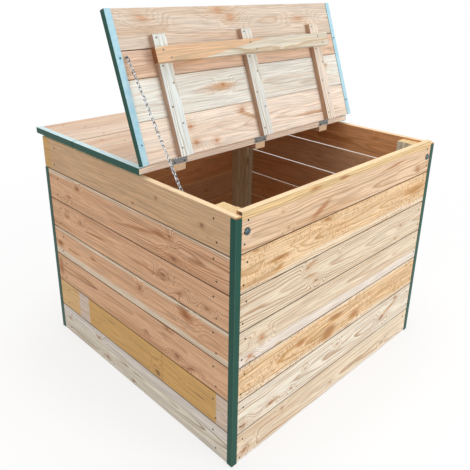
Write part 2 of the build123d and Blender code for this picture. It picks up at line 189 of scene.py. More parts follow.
# %% A board's axes and its spots
class Grain:
    """A board's own axes: along its length, across its width and out of its face, from its middle."""

    def __init__(self, centre, along, across, size):
        along, across = Vector(along), Vector(across)
        self.turn = Matrix((along, across, along.cross(across)))
        self.centre = Vector(centre)
        self.length, self.width = size


def nearest_spot(tree, place, ragged, spots):
    """Distance to the nearest spot, counted in its half length and half width, with a ragged edge.
    A spot is (along, across, half length, half width, turn) in millimetres and degrees."""
    nearest = None
    for along, across, half_length, half_width, turn in spots:
        spot = add(tree, "Mapping", {
            "Vector": place,
            "Location": (along * MM, across * MM, 0),
            "Rotation": (0, 0, math.radians(turn)),
            "Scale": (half_length * MM, half_width * MM, 1.0),
        }, vector_type="TEXTURE")
        reach = add(tree, "VectorMath", (spot,), "Value", operation="LENGTH")
        if nearest is not None:
            reach = add(tree, "Math", (nearest, reach), operation="MINIMUM")
        nearest = reach
    return add(tree, "Math", (nearest, ragged), operation="ADD")


# %% [markdown]
# Late wood is the thin brown line that ends each year's ring. It darkens slowly and stops at once, and
# years differ, so each ring draws its strength from a number of its own. Real rings are 2 to 3 mm wide,
# finer than a pixel here, so they are drawn at 5.5 mm.

# %% Ring lines
RING = 5.5
WEAKEST_YEAR = 0.2
LATE_WOOD = ((0.45, 0.12), (0.72, 0.85), (0.84, 1.0))


def ring_lines(tree, place, seed, pith, lean, contrast, swell, ring):
    """Late wood lines round a leaning pith line. The swell pushes them aside near a knot."""
    trunk = add(tree, "Mapping", {
        "Vector": place,
        "Location": (0, pith[0] * MM, pith[1] * MM),
        "Rotation": (0, math.radians(lean[1]), math.radians(lean[0])),
    })
    trunk = add(tree, "VectorMath", (trunk, (0, 1, 1)), operation="MULTIPLY")
    radius = add(tree, "VectorMath", (trunk,), "Value", operation="LENGTH")
    rings = add(tree, "Math", (radius, 1 / (ring * MM), swell), operation="MULTIPLY_ADD")
    phase = add(tree, "Math", (rings,), operation="FRACT")
    year = add(tree, "Math", (add(tree, "Math", (rings,), operation="FLOOR"), seed), operation="ADD")
    vigour = add(tree, "TexWhiteNoise", {"W": year}, "Value", noise_dimensions="1D")
    vigour = add(tree, "MapRange", (vigour, 0, 1, WEAKEST_YEAR * contrast, contrast))
    line = add(tree, "ValToRGB", (phase,))
    stops = line.node.color_ramp.elements
    stops[0].color = stops[1].color = (0, 0, 0, 1)
    for stop, grey in LATE_WOOD:
        stops.new(stop).color = (grey, grey, grey, 1)
    return add(tree, "Math", (line, vigour), operation="MULTIPLY")


# %% [markdown]
# A trunk is never straight, so a slow bend moves its rings and fibres aside. Over it lie four random
# patterns, each given by the length and width of its grains in millimetres: fibres, tones that drift, the
# teeth marks of a rough saw and the patches that they come in. Real fibres are far finer than a pixel and
# are drawn as 3 mm strands. The seed gives each board patterns of its own, the same in every run.

# %% Patterns of the wood
BEND = (312.5, 90.9)
BEND_PUSH = 22.0
PATTERNS = {"fibre": (143.0, 3.03), "drift": (417.0, 38.5), "teeth": (4.35, 8.33), "patch": (143.0, 45.5)}
BENT_PATTERNS = ("fibre", "drift")
OCTAVES = 3.0


def stretch(grains):
    """Scale of a pattern whose grains have a length and a width in millimetres."""
    length, width = grains
    return 1 / (length * MM), 1 / (width * MM), 1 / (width * MM)


def wood_patterns(tree, local, seed):
    """The board's place on its bent trunk, and its random patterns by name."""
    slow = add(tree, "Mapping", {"Vector": local, "Scale": stretch(BEND)})
    noise = {"Vector": slow, "W": seed, "Scale": 1.0, "Detail": OCTAVES}
    bend = add(tree, "TexNoise", noise, "Color", noise_dimensions="4D")
    aside = Vector((0, BEND_PUSH * MM, BEND_PUSH * MM))
    push = add(tree, "VectorMath", (bend, aside, -aside / 2), operation="MULTIPLY_ADD")
    bent = add(tree, "VectorMath", (local, push), operation="ADD")
    patterns = {}
    for shift, (kind, grains) in enumerate(PATTERNS.items()):
        source = bent if kind in BENT_PATTERNS else local
        fine = add(tree, "Mapping", {"Vector": source, "Scale": stretch(grains)})
        noise = {"Vector": fine, "W": seed + shift, "Scale": 1.0, "Detail": OCTAVES}
        patterns[kind] = add(tree, "TexNoise", noise, noise_dimensions="4D")
    return bent, patterns


# %% [markdown]
# A board's colour is built in layers, each a mask and a colour that is laid over what is below it. These
# masks are areas: single strips of a row, stains across a board, and sapwood, the pale outer wood that
# wanders along an edge. Stains and sapwood have edges a few millimetres soft, and a strip's tint fades in
# the gap beside it.

# %% Strips, stains and sapwood
SMOOTH = "SMOOTHSTEP"
STRIP_EDGE = (0.4, 0.5)
STRIP_STRENGTH = 0.8
STAIN_RAGGED = 8.0
STAIN_SOFT = 3.0
STAIN_STRENGTH = 0.85
SAP_WANDER = 50.0
SAP_SOFT = (6.0, 5.0)
SAP_STRENGTH = 0.9


def strip_layers(tree, row, repeat, tints):
    """Single strips of a row that repeats. A tint is (place, colour)."""
    layers = []
    for place, tint in tints:
        apart = add(tree, "Math", (row, place * MM), operation="SUBTRACT")
        apart = add(tree, "Math", (apart,), operation="ABSOLUTE")
        lines = [repeat * MM * share for share in STRIP_EDGE]
        layers.append((add(tree, "MapRange", (apart, *lines, STRIP_STRENGTH, 0)), tint))
    return layers


def stain_layers(tree, along, across, ragged, stains):
    """Areas across a board. A stain is (from, to, colour, slant)."""
    layers = []
    for start, end, stain, slant in stains:
        middle, half = (start + end) / 2 * MM, (end - start) / 2 * MM
        apart = add(tree, "Math", (across, -slant, along), operation="MULTIPLY_ADD")
        apart = add(tree, "Math", (apart, middle), operation="SUBTRACT")
        apart = add(tree, "Math", (apart,), operation="ABSOLUTE")
        apart = add(tree, "Math", (ragged, STAIN_RAGGED * MM, apart), operation="MULTIPLY_ADD")
        lines = (half - STAIN_SOFT * MM, half + STAIN_SOFT * MM)
        mask = add(tree, "MapRange", (apart, *lines, STAIN_STRENGTH, 0), interpolation_type=SMOOTH)
        layers.append((mask, stain))
    return layers


def sap_layers(tree, grain, across, drift, sap):
    """Pale wood along an edge. A strip of sapwood is (edge, width, colour), where edge is 1 or -1."""
    layers = []
    for edge, width, strip in sap:
        line = edge * (grain.width / 2 - width)
        wander = add(tree, "Math", (drift, SAP_WANDER * MM, across), operation="MULTIPLY_ADD")
        wander = add(tree, "Math", (wander, SAP_WANDER / 2 * MM), operation="SUBTRACT")
        lines = ((line - edge * SAP_SOFT[0]) * MM, (line + edge * SAP_SOFT[1]) * MM)
        mask = add(tree, "MapRange", (wander, *lines, 0, SAP_STRENGTH), interpolation_type=SMOOTH)
        layers.append((mask, strip))
    return layers


# %% [markdown]
# Seams read as dark lines, because the planed edges fall back into shade there. Inside the bin the same
# edges catch the light from the mouth, so a pale glint takes the dark line's place. The side walls' seams
# fall outwards, and the lines slope with them. A board's sawn end shows end grain, in a tone of its own.

# %% Ends, seams, painted shade inside, and painted highlights and shade on free edges
SEAM_SHADE = "#4A2A14"
EDGE_GLINT = "#FFD29A"
# Painted shade: the faces that look into the bin get a darker orange brown, as shade inside the bin.
INSIDE_PAINTED_SHADE = "#D8924F"
BOARD_THICKNESS = 20.0
SEAM_DEPTH = 7.5
END_LINE = (0.6, 0.2)
SEAM_LINE = (1.6, 0.7)
GLINT_LINE = (4.0, 3.0)
# Band of painted highlight or painted shade on free edges, in millimetres inwards.
EDGE_LIGHT_SHADE_LINE = (1.2, 0.3)
END_STRENGTH, INSIDE_SHADE_STRENGTH, SEAM_STRENGTH, EDGE_LIGHT_SHADE_STRENGTH = 0.95, 0.6, 0.65, 0.75


def edge_layers(tree, grain, axes, end_colour, seams, edges, inside, fall):
    """End grain, painted shade on the side that looks into the bin, seams, and painted highlights and
    painted shade on free edges. Lines are millimetres inwards.
    """
    along, across, out = axes
    tip, half = grain.length / 2, grain.width / 2
    far = add(tree, "Math", (along,), operation="ABSOLUTE")
    lines = [(tip - inset) * MM for inset in END_LINE]
    layers = [(add(tree, "MapRange", (far, *lines, 0, END_STRENGTH)), end_colour)]
    rise = add(tree, "Math", (out, -inside * fall / BOARD_THICKNESS, across), operation="MULTIPLY_ADD")
    if inside:
        # Painted shade on the faces that look into the bin.
        facing = add(tree, "Math", (out, inside / MM), operation="MULTIPLY", use_clamp=True)
        layers.append((add(tree, "Math", (facing, INSIDE_SHADE_STRENGTH), operation="MULTIPLY"), INSIDE_PAINTED_SHADE))
        within = add(tree, "Math", (out, inside / MM, SEAM_DEPTH), operation="MULTIPLY_ADD", use_clamp=True)
        outer_rim = add(tree, "Math", (1, within), operation="SUBTRACT")
    for edge in seams:
        lines = [(edge * (half - inset) + fall / 2) * MM for inset in SEAM_LINE]
        rim = add(tree, "MapRange", (rise, *lines, 0, SEAM_STRENGTH))
        if inside:
            rim = add(tree, "Math", (rim, outer_rim), operation="MULTIPLY")
            lines = [(edge * (half - inset) + fall / 2) * MM for inset in GLINT_LINE]
            glint = add(tree, "MapRange", (rise, *lines))
            layers.append((add(tree, "Math", (glint, within), operation="MULTIPLY"), EDGE_GLINT))
        layers.append((rim, SEAM_SHADE))
    # Free edges get their painted highlight or painted shade.
    for edge, bare in edges:
        lines = [edge * (half - inset) * MM for inset in EDGE_LIGHT_SHADE_LINE]
        layers.append((add(tree, "MapRange", (across, *lines, 0, EDGE_LIGHT_SHADE_STRENGTH)), bare))
    return layers


# %% [markdown]
# Planed larch and spruce: pale early wood, brown late wood, orange heartwood, knots and, on two boards,
# the torn flecks of a rough saw. It is matt, and its late wood stands a little lower. A ramp below is
# four numbers: where it starts and ends on its pattern, and what it gives there. Heights are in
# millimetres. The rounding of the edges is drawn about 3 mm wide, wider than it is, so that it shows.

# %% Softwood finish
KNOT_BROWN = "#9A5B32"
END_BROWN = "#A8743F"
RAGGED_EDGE = (0.3, 0.7, -0.3, 0.3)
HEART_DRIFT = (0.46, 0.78, 0, 0.5)
FLAME = (0.25, 1.25, 0.8, 0)
KNOT_SWELL = (0.2, 5.0, 4.2, 0)
KNOT_HALO = (0.9, 2.6, 0.35, 0)
KNOT_CORE = (0.35, 1.05, 0.75, 0)
FLECK = (0.5, 0.62, 0, 0.75)
FLECK_PATCH = (0.36, 0.56, 0, 1)
FIBRE_SHADE = (0.36, 0.64, 0.8, 1.13)
FIBRE_ROUGHNESS = (0.3, 0.7, 0.6, 0.76)
GROUND_HEIGHT, RING_HEIGHT, FIBRE_HEIGHT, FLECK_HEIGHT, EDGE_HEIGHT = 0.2, -0.10, 0.22, -0.3, -1.5
ROUNDING = 3.2
BUMP_STRENGTH = 0.8
WOOD_IOR = 1.5


def softwood(name, grain, pale, late, accent, seed, pith=(10, 45), lean=(0.5, 1.2), contrast=0.95, ring=RING,
             knots=(), knot_colour=KNOT_BROWN, flames=(), flame_colour="", sap=(), stains=(), sawn=0.0,
             repeat=0.0, tints=(), end_colour=END_BROWN, seams=(-1, 1), edges=(), inside=0, fall=0.0):
    """A board's finish. Seams are the edges that meet another board, edges are (edge, colour) of free edges
    that get a painted highlight or painted shade, repeat is the spacing of strips in a row, inside is the
    side that looks into the bin, 1 or -1, where it gets painted shade, and fall is how much higher its seams
    lie there than outside."""
    material, tree = new_material(name)
    local = add(tree, "Mapping", {
        "Vector": add(tree, "TexCoord", out="Object"),
        "Location": -(grain.turn @ grain.centre),
        "Rotation": grain.turn.to_euler(),
    })
    along, across, out = add(tree, "SeparateXYZ", (local,)).node.outputs
    row = across
    if repeat:
        across = add(tree, "Math", (across, repeat * MM / 2, -repeat * MM / 2), operation="WRAP")
        local = add(tree, "CombineXYZ", (along, across, out))
    bent, patterns = wood_patterns(tree, local, seed)
    fibre, drift = patterns["fibre"], patterns["drift"]
    ragged = add(tree, "MapRange", (fibre, *RAGGED_EDGE))

    # Heartwood, strips, stains, sapwood and orange flames
    layers = [(add(tree, "MapRange", (drift, *HEART_DRIFT), interpolation_type=SMOOTH), accent)]
    layers += strip_layers(tree, row, repeat, tints)
    layers += stain_layers(tree, along, across, ragged, stains)
    layers += sap_layers(tree, grain, across, drift, sap)
    if flames:
        reach = nearest_spot(tree, bent, ragged, flames)
        mask = add(tree, "MapRange", (reach, *FLAME), interpolation_type=SMOOTH)
        layers.append((mask, flame_colour or accent))

    # Rings, pushed aside by knots, and torn flecks of a rough saw
    swell = 0.0
    if knots:
        reach = nearest_spot(tree, local, ragged, knots)
        swell = add(tree, "MapRange", (reach, *KNOT_SWELL), interpolation_type=SMOOTH)
        for ramp, tint in ((KNOT_HALO, accent), (KNOT_CORE, knot_colour)):
            layers.append((add(tree, "MapRange", (reach, *ramp), interpolation_type=SMOOTH), tint))
    rings = ring_lines(tree, bent, seed, pith, lean, contrast, swell, ring)
    layers.append((rings, late))
    height = add(tree, "Math", (rings, RING_HEIGHT, GROUND_HEIGHT), operation="MULTIPLY_ADD")
    height = add(tree, "Math", (fibre, FIBRE_HEIGHT, height), operation="MULTIPLY_ADD")
    if sawn:
        start, end, least, most = FLECK
        torn = (patterns["teeth"], start, end, least, most * sawn)
        fleck = add(tree, "MapRange", torn, interpolation_type=SMOOTH)
        patch = add(tree, "MapRange", (patterns["patch"], *FLECK_PATCH), interpolation_type=SMOOTH)
        fleck = add(tree, "Math", (fleck, patch), operation="MULTIPLY")
        layers.append((fleck, accent))
        height = add(tree, "Math", (fleck, FLECK_HEIGHT, height), operation="MULTIPLY_ADD")
    layers += edge_layers(tree, grain, (along, across, out), end_colour, seams, edges, inside, fall)

    # The layers laid over each other, fibres over all of them, and edges that fall away
    colour = linear(pale)
    for mask, tint in layers:
        colour = add(tree, "Mix", {0: mask, 6: colour, 7: linear(tint)}, 2, data_type="RGBA")
    shade = add(tree, "MapRange", (fibre, *FIBRE_SHADE))
    colour = add(tree, "VectorMath", {0: colour, "Scale": shade}, operation="SCALE")
    half = grain.width / 2
    beyond = add(tree, "Math", (across,), operation="ABSOLUTE")
    beyond = add(tree, "MapRange", (beyond, (half - ROUNDING) * MM, half * MM, 0, 1))
    beyond = add(tree, "Math", (beyond, 2.0), operation="POWER")
    height = add(tree, "Math", (beyond, EDGE_HEIGHT, height), operation="MULTIPLY_ADD")
    shader = add(tree, "BsdfPrincipled", {
        "Base Color": colour,
        "Roughness": add(tree, "MapRange", (fibre, *FIBRE_ROUGHNESS)),
        "Normal": add(tree, "Bump", {"Height": height, "Strength": BUMP_STRENGTH, "Distance": MM}),
        "IOR": WOOD_IOR,
    })
    add(tree, "OutputMaterial", {"Surface": shader})
    return material


# %% [markdown]
# No two boards of a bundle are alike, but they come from a few trunks. A kind of wood is three tones:
# early wood, the late wood of its rings, and heartwood. They are picked as from a paint card, in coarse
# steps, and kinds that could come from one trunk share their ring and heart browns.

# %% Tones of the wood
def wood(pale, late, accent):
    """Early wood, late wood and heartwood of one kind of board."""
    return dict(pale=pale, late=late, accent=accent)


BROWN_RING = "#B89068"
DARK_RING = "#A87048"
GOLD_RING = "#C09050"
SOFT_RING = "#C8A080"
BARK_RING = "#886040"
ORANGE_HEART = "#C08848"
RED_HEART = "#B07040"
PALE_HEART = "#C89868"

PEACH = wood("#F0D0B0", BROWN_RING, ORANGE_HEART)
STRAW = wood("#F8D8B0", GOLD_RING, ORANGE_HEART)
CREAM = wood("#F0E0C8", BROWN_RING, PALE_HEART)
IVORY = wood("#F8E8D0", BROWN_RING, PALE_HEART)
MILK = wood("#F8F0E0", BROWN_RING, PALE_HEART)
FAWN = wood("#E0B890", BROWN_RING, PALE_HEART)
ROSE = wood("#F0C098", DARK_RING, RED_HEART)
HONEY = wood("#F0C890", GOLD_RING, PALE_HEART)
CHALK = wood("#F8F0E0", BARK_RING, PALE_HEART)
BLUSH = wood("#F8E8D8", SOFT_RING, PALE_HEART)
BONE = wood("#F0F0E8", SOFT_RING, PALE_HEART)
TAN = wood("#E8C8B0", BROWN_RING, ORANGE_HEART)
DUSK = wood("#E0D0C0", BROWN_RING, PALE_HEART)
WHITE_SAP = "#F8F0E8"
CREAM_SAP = "#F8E8D0"
GOLDEN_SAP = "#F0D098"
print("tones of the peach boards", PEACH)

# %% [markdown]
# The walls are seven boards a side. The looks below follow the photograph board by board: kinds of wood,
# knots, orange flames, sapwood edges and stains, placed in millimetres from the board's middle. A random
# choice would be shorter, but the boards of this bin can be told apart.

# %% Looks of the front boards
FRONT = {
    1: dict(PEACH, pith=(30, 52), lean=(0.4, 0.7),
            sap=[(1, 22, GOLDEN_SAP)],
            flames=[(-160, -25, 62, 13, 27), (-195, 48, 36, 8, 0), (-55, 46, 26, 6, 0),
                    (415, -33, 24, 16, -25), (250, 18, 70, 6, 4)],
            knots=[(-308, -41, 7, 4, 0), (-335, 15, 6, 3, 0)], flame_colour="#B36B33"),
    2: dict(STRAW, sawn=0.9, pith=(-2, 20), lean=(0.3, 1.6),
            sap=[(-1, 20, CREAM_SAP)],
            flames=[(-350, -6, 70, 8, 0), (-340, -34, 26, 9, 20), (420, 6, 90, 22, 0)],
            knots=[(-440, 54, 16, 5, -8), (-122, 50, 20, 8, -12), (-335, -4, 20, 6, 0)],
            knot_colour="#AD7138"),
    3: dict(CREAM, pith=(0, 30), lean=(0.3, 1.4),
            flames=[(-190, 40, 34, 9, 10), (-185, 0, 40, 6, -6)],
            knots=[(-205, 32, 9, 6, 15), (-160, -26, 11, 6, -10), (-40, 28, 5, 3, 0), (345, 5, 8, 4, 0),
                   (315, -41, 8, 5, 0)]),
    4: dict(CREAM, pith=(-10, 28), lean=(-0.4, 1.0),
            sap=[(-1, 34, WHITE_SAP)], knots=[(-402, 2, 14, 10, 0), (-450, -38, 15, 9, 0)],
            knot_colour="#C06C2C", flames=[(-325, -54, 24, 5, 0)]),
    5: dict(STRAW, sawn=1.0, pith=(6, 30), lean=(0.4, 1.3),
            flames=[(-215, 7, 30, 18, 0), (-65, -28, 44, 32, 20), (-30, 20, 44, 14, 0),
                    (85, -22, 38, 22, 0)],
            knots=[(110, -38, 8, 5, 20)], knot_colour="#5E3A17", flame_colour="#AE6B27",
            sap=[(1, 9, CREAM_SAP), (-1, 14, CREAM_SAP)]),
    6: dict(MILK, pith=(6, 30), lean=(0.3, 1.8),
            knots=[(-470, -38, 12, 8, 0), (-350, -28, 10, 5, 0), (-180, 10, 7, 4, 0), (-250, -30, 7, 4, 0),
                   (-5, 17, 9, 5, 0), (290, -8, 18, 9, 25), (380, 42, 14, 6, 0)],
            flames=[(-340, -26, 34, 8, 0), (340, 16, 80, 9, 20)]),
    7: dict(IVORY, pith=(18, 36), lean=(0.7, 1.0),
            knots=[(-290, 28, 8, 5, 0), (-462, -24, 18, 10, 25), (-25, -23, 8, 4, 0), (315, -23, 8, 4, 0)],
            sap=[(-1, 9, WHITE_SAP)]),
}
print("front boards described:", len(FRONT))

# %% Looks of the left boards
GOLD_STAIN = "#E0B068"
BARE_PATCH = "#E8D8D0"
SAW_LINE = "#C89048"
LEFT = {
    1: dict(FAWN, pith=(20, 46), lean=(0.3, 0.6), contrast=0.45,
            stains=[(458, 520, GOLD_STAIN, 0)],
            knots=[(-175, 13, 8, 5, 0), (-55, -38, 8, 5, 0), (-375, -5, 10, 8, 0)], knot_colour="#8A5E40"),
    2: dict(ROSE, pith=(4, 32), lean=(0.4, 1.4),
            sap=[(1, 13, CREAM_SAP)],
            flames=[(-80, -2, 150, 8, -8), (-190, 20, 40, 14, 0), (-385, -12, 100, 4, -4),
                    (285, 28, 18, 8, 0)],
            knots=[(-233, 27, 11, 7, 25), (285, 30, 9, 6, 0), (350, -23, 9, 6, 0), (-250, -38, 18, 9, 0)],
            knot_colour="#7E4B2C"),
    3: dict(ROSE, pith=(-6, 30), lean=(-0.3, 1.2),
            flames=[(190, -2, 90, 5, -4), (-110, -8, 130, 5, 0)],
            knots=[(380, 11, 13, 6, 0), (283, 14, 13, 6, 0), (-195, 4, 16, 7, 0), (-275, -26, 16, 6, -20),
                   (-395, -22, 14, 5, 0)], knot_colour="#A06A42"),
    4: dict(ROSE, pith=(10, 34), lean=(0.3, 1.4),
            sap=[(1, 10, CREAM_SAP), (-1, 22, CREAM_SAP)],
            flames=[(215, 12, 24, 8, 0), (-300, 28, 44, 22, 15), (452, -8, 24, 14, 0)],
            knots=[(-300, 30, 20, 12, 20), (-70, 20, 11, 9, 0), (452, -6, 14, 8, 0)], knot_colour="#9F5C30"),
    5: dict(ROSE, pith=(-12, 40), lean=(0.4, 1.0),
            flames=[(465, 0, 18, 50, 0)],
            knots=[(-207, 52, 15, 6, 15), (-255, -26, 16, 8, 0), (-95, -17, 8, 5, 0),
                   (-318, -40, 26, 6, -22)],
            knot_colour="#8A5535"),
    6: dict(HONEY, pith=(14, 46), lean=(0.2, 0.7), contrast=1.0,
            stains=[(-435, 275, GOLD_STAIN, 0), (275, 345, BARE_PATCH, 0), (-520, -435, BARE_PATCH, 0),
                    (-177, -173, SAW_LINE, 0)],
            knots=[(120, 27, 24, 2.4, -2), (-363, 0, 30, 2.6, 2), (-150, -35, 18, 13, 35)],
            knot_colour="#55300F"),
    7: dict(CHALK, pith=(2, 26), lean=(0.5, 1.5), contrast=1.1,
            sap=[(1, 40, WHITE_SAP)],
            knots=[(220, 27, 14, 7, 0), (165, -28, 18, 6, 0), (435, 12, 12, 6, 0), (0, -42, 10, 4, 0)],
            knot_colour="#8F6A48"),
}
print("left boards described:", len(LEFT))

# %% [markdown]
# Each board now gets its finish. Boards that the photograph doesn't show take kinds of wood in turn, and
# knots at places that the golden ratio spreads evenly. A side board's box is higher than its outer face,
# because its edges slope, so its middle comes from the courses instead.

# %% Wall boards
COURSES = 7
# Painted highlight on the top board's top edge, where the light falls.
TOP_EDGE_HIGHLIGHT = "#FFE6BC"
SHADED_END = "#4F2A12"
HIDDEN_TONES = (PEACH, STRAW, ROSE, CREAM)
GOLDEN = (math.sqrt(5) - 1) / 2
SIDE_WALL_TOP = 817.5
SIDE_COURSE = 117.0
SIDE_BOARD = 115.5
SEAM_FALL = 7.6
KNOT_FIELD = (920.0, 76.0)
WALLS = {
    "front": (FRONT, (1, 0, 0), -1),
    "back": ({}, (-1, 0, 0), -1),
    "left": (LEFT, (0, 1, 0), 1),
    "right": ({}, (0, -1, 0), 1),
}


def dress(node, material):
    """Give a CAD node its material."""
    mesh = nodes[node].data
    mesh.materials.clear()
    mesh.materials.append(material)


def node_middle(node):
    """Middle of a node's box in metres, and its size in millimetres."""
    low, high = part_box(node)
    return (low + high) / 2, (high - low) / MM


def hidden_look(seed):
    """A look for a board that the photograph doesn't show."""
    look = dict(HIDDEN_TONES[seed % len(HIDDEN_TONES)])
    look["pith"] = (seed * 5 % 30 - 12, 30 + seed * 7 % 20)
    look["knots"] = []
    for k in range(1 + seed % 3):
        along = ((seed * 7 + k) * GOLDEN % 1 - 0.5) * KNOT_FIELD[0]
        across = ((seed * 3 + k * 5) * GOLDEN % 1 - 0.5) * KNOT_FIELD[1]
        look["knots"].append((along, across, 8 + 3 * (k % 3), 5 + 2 * (k % 2), 15 * k))
    return look


seed = 0
for wall, (looks, along, inside) in WALLS.items():
    for course in range(1, COURSES + 1):
        seed += 1
        node = f"{wall}_board_{course}"
        centre, size = node_middle(node)
        look = dict(looks.get(course) or hidden_look(seed))
        if wall in ("left", "right"):
            centre.z = (SIDE_WALL_TOP - (course - 1) * SIDE_COURSE - SIDE_BOARD / 2) * MM
            size.z = SIDE_BOARD
            look["fall"] = SEAM_FALL
        grain = Grain(centre, along, (0, 0, 1), (max(size.x, size.y), size.z))
        look["seams"] = [edge for edge in (-1, 1) if 1 <= course - edge <= COURSES]
        if course == 1:
            # The top board's top edge gets a painted highlight.
            look["edges"] = [(1, TOP_EDGE_HIGHLIGHT)]
        if wall in ("front", "back"):
            look["end_colour"] = SHADED_END
        dress(node, softwood(f"planed_softwood_{node}", grain, seed=seed * 1.7, inside=inside, **look))
print("wall boards dressed:", seed)

# %% [markdown]
# Roof and lid are the same wood, planed and a little pinker. The lid stands open, so its boards' own axes
# lean with it: the hinge's range gives the turn. The pattern is fixed to the boards, so it goes with the
# lid.

# %% Lid boards
hinges = {joint["name"]: joint for joint in frame["joints"]}
open_turn = math.radians(max(hinges["lid_hinge"]["range_deg"]))
lid_to_tip = Vector((0, -math.cos(open_turn), math.sin(open_turn)))
LID_WIDTHS = (124.0, 122.0, 82.5, 120.5)
COVER_LENGTH = 1040.0
LID = {
    1: dict(BLUSH, pith=(6, 32), lean=(0.4, 1.5), contrast=0.6, seams=[],
            knots=[(-317, 21, 13, 10, 0), (-307, -29, 14, 11, 0), (-222, -39, 12, 9, 0),
                   (-82, 41, 14, 10, 20)],
            flames=[(300, -20, 160, 8, 0), (-60, 20, 60, 8, -20)], knot_colour="#C07C4E"),
    2: dict(BONE, pith=(0, 28), lean=(0.3, 1.4), contrast=0.6, seams=[],
            flames=[(-150, 6, 80, 18, 0)], knots=[(-142, 9, 14, 8, 0), (420, 25, 10, 7, 0)],
            knot_colour="#BB7748"),
    3: dict(TAN, pith=(16, 40), lean=(0.2, 0.7), contrast=0.7, seams=[1]),
    4: dict(DUSK, pith=(-4, 28), lean=(0.5, 1.6), contrast=0.5, seams=[-1],
            knots=[(-92, 46, 26, 15, 0), (-42, 22, 24, 14, 0), (-402, 30, 26, 9, -10), (310, 4, 30, 9, 0)],
            knot_colour="#CC9A76"),
}
for index, look in LID.items():
    node = f"lid_board_{index}"
    grain = Grain(node_middle(node)[0], (1, 0, 0), lid_to_tip, (COVER_LENGTH, LID_WIDTHS[index - 1]))
    dress(node, softwood(f"planed_softwood_{node}", grain, seed=60 + index * 2.3, **look))
print("lid leans", round(math.degrees(open_turn)), "degrees")

# %% [markdown]
# The roof's boards are seen only at a slant, so three kinds of wood in turn are enough. The third and the
# fourth board meet at the one wide seam, which reads dark. The front board's front edge carries a painted
# highlight.

# %% Roof boards
ROOF_BOARDS = 5
# Painted highlight on the front roof board's front edge.
ROOF_FRONT_HIGHLIGHT = "#FFEEDD"
ROOF_TONES = (
    wood("#E9CFB8", "#C79E7E", "#C8946A"),
    wood("#EBD4BF", "#CBA588", "#C99A74"),
    wood("#E6C9B0", "#C19776", "#C08B62"),
)
ROOF_SEAMS = {3: [1], 4: [-1]}
for index in range(1, ROOF_BOARDS + 1):
    node = f"roof_board_{index}"
    centre, size = node_middle(node)
    grain = Grain(centre, (1, 0, 0), (0, 1, 0), (size.x, size.y))
    look = hidden_look(index + 40)
    look.update(ROOF_TONES[index % len(ROOF_TONES)])
    look.update(contrast=0.6, seams=ROOF_SEAMS.get(index, []))
    if index == 1:
        look["edges"] = [(-1, ROOF_FRONT_HIGHLIGHT)]
    dress(node, softwood(f"planed_softwood_{node}", grain, seed=80 + index * 3.1, **look))
print("roof boards dressed:", ROOF_BOARDS)

# %% [markdown]
# Battens, bar and posts are narrow sawn strips, cut with upright rings, so their lines run straight. They
# are drawn 4.5 mm apart so that they show. The battens repeat every 368 mm, and the pattern wraps at that
# spacing, so that each starts from its own middle. The bar's orange half is a stain with a slant.

# %% Battens, cross bar and posts
BATTEN_WIDTH = 48.0
BATTEN_SPACING = 368.0
LID_BATTEN_LENGTH = 368.9
STRIP = dict(ring=4.5, lean=(0.3, 0.4), seams=())
bar_middle, bar_size = node_middle("lid_cross_bar")
batten_middle = node_middle("lid_battens")[0]
roof_middle, roof_size = node_middle("roof_battens")
STRIPS = {
    "lid_battens": (
        Grain(batten_middle, lid_to_tip, (-1, 0, 0), (LID_BATTEN_LENGTH, BATTEN_WIDTH)),
        dict(pale="#EAF1F0", late="#C2B59C", accent="#D9CBB4", pith=(30, 50), repeat=BATTEN_SPACING,
             tints=[(0, "#E2E2DC"), (-BATTEN_SPACING, "#F1DBC8")],
             # The brown on the battens' left sides is painted shade.
             end_colour="#C9A67C", edges=[(1, "#A87448")]),
    ),
    "lid_cross_bar": (
        Grain(bar_middle, (1, 0, 0), lid_to_tip, (bar_size.x, BATTEN_WIDTH)),
        dict(pale="#E1DBCB", late="#C3AA88", accent="#D8B48A", pith=(20, 50), end_colour="#84480A",
             stains=[(-520, -77, "#E4B68C", 6.5)]),
    ),
    "roof_battens": (
        Grain(roof_middle, (0, 1, 0), (-1, 0, 0), (roof_size.y, BATTEN_WIDTH)),
        dict(pale="#E0C0A4", late="#B98E64", accent="#C58A5A", pith=(20, 50), repeat=BATTEN_SPACING,
             end_colour="#FADAB4"),
    ),
}
for node in nodes:
    if node.startswith("corner_posts"):
        centre, size = node_middle(node)
        grain = Grain(centre, (0, 0, 1), (1, 0, 0), (size.z, size.x))
        STRIPS[node] = (grain, dict(pale="#F6F4DC", late="#94885C", accent="#C4B486", pith=(12, 20),
                                    end_colour="#E8C890"))
for index, (node, (grain, look)) in enumerate(STRIPS.items()):
    dress(node, softwood(f"sawn_softwood_{node}", grain, seed=5.2 + index * 3.7, **STRIP, **look))
print("strips dressed:", len(STRIPS))

# %% [markdown]
# The corner angles and the channels over the board ends are folded from steel sheet with a dark green
# coating, which gives a smooth colour with a soft shine. The flat legs of the channels are coloured pale
# blue, which is why they look so light next to the dark webs. A mask on the direction of the face tells the
# legs from the webs. Along the bends a painted highlight, a paler grey green in streaks, stands in for the
# shine of the bent edge.

# %% Green coated steel
COAT_DARK = "#184A3E"
COAT_LIGHT = "#24594C"
# Pale blue of the channels' flat legs, a darker and a lighter tone.
LID_LEG_BLUE = ("#8FCDE9", "#CFE9EE")
ROOF_LEG_BLUE = ("#B4DCE8", "#E6F2F1")
# Painted highlight along the bends, a paler grey green.
BEND_HIGHLIGHT = "#7F9A90"
COAT_CLOUD = 40.0
STREAK_SIZE = 16.7
BEND_HIGHLIGHT_RAMP = (0.2, 0.45, 0, 0.9)
LEG_FACING = (0.8, 0.9, 0, 1)
COAT_ROUGHNESS = (0.3, 0.7, 0.3, 0.42)
COAT_SPECULAR = 0.15


